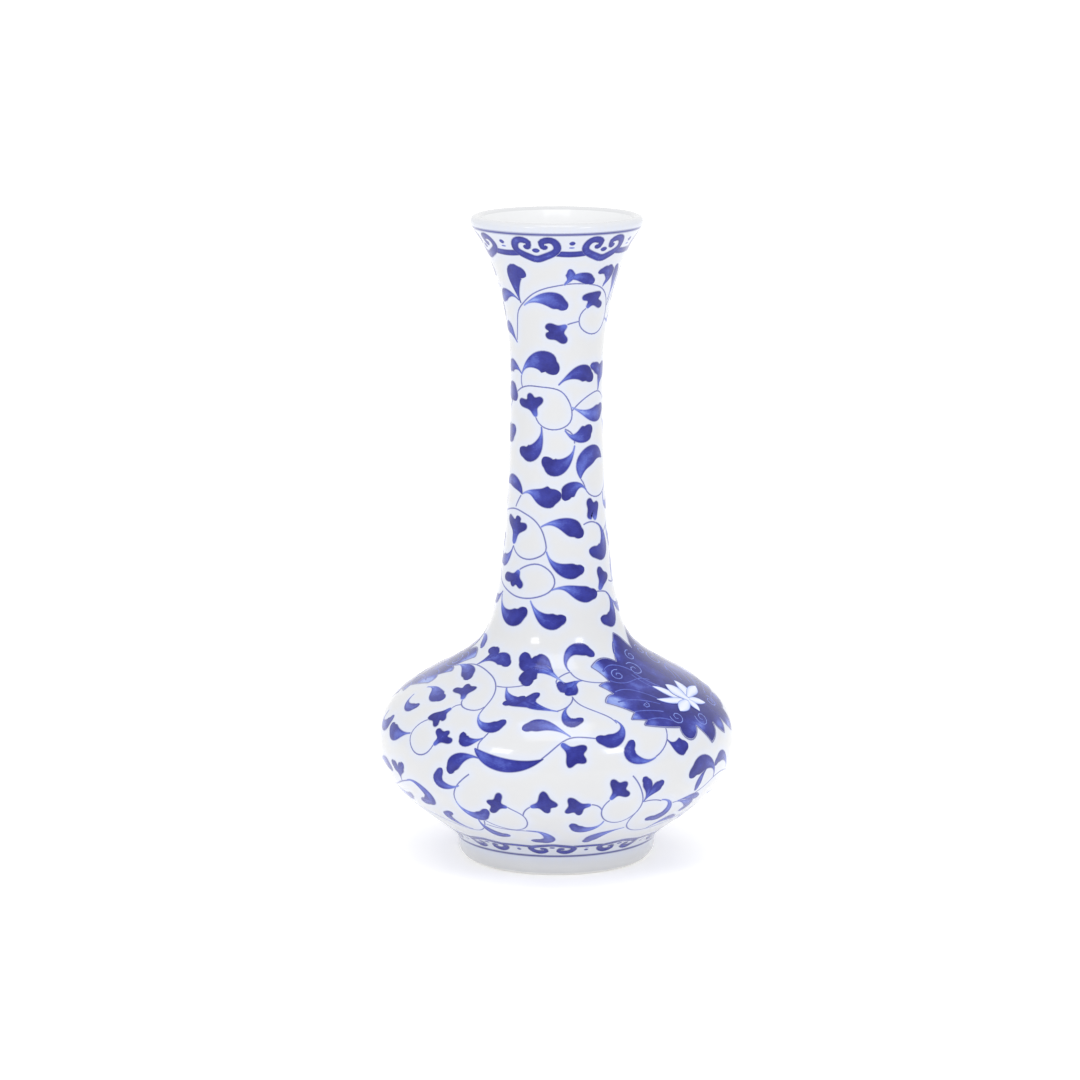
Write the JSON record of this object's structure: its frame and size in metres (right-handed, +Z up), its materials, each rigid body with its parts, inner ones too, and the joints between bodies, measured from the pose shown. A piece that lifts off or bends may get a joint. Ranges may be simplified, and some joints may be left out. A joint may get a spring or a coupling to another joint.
{
  "type": "porcelain bottle vase",
  "caption": "Long-necked porcelain bottle vase: squat round belly, slender flared neck with a rounded lip, low turned foot ring, glazed inside and out over blue scrollwork.",
  "frame": {"origin": "centre of the ring that the foot stands on, on the surface that it stands on", "axes": "+Z up along the vase's axis, from the foot to the mouth; +X and +Y level, with -Y the side that faces a viewer"},
  "size_m": [0.103, 0.103, 0.1849],
  "materials": {
    "porcelain_body": "matte",
    "luting_slip": "matte",
    "clear_glaze": "gloss",
    "cobalt_blue": "gloss"
  },
  "bodies": {
    "root": {"neck_section": "porcelain_body", "neck_slip_joint": "luting_slip", "shoulder_section": "porcelain_body", "belly_slip_joint": "luting_slip", "bowl_section": "porcelain_body", "foot_slip_joint": "luting_slip", "foot_ring": "porcelain_body", "outer_glaze": "clear_glaze", "inner_glaze": "clear_glaze", "base_glaze": "clear_glaze"}
  },
  "joints": []
}
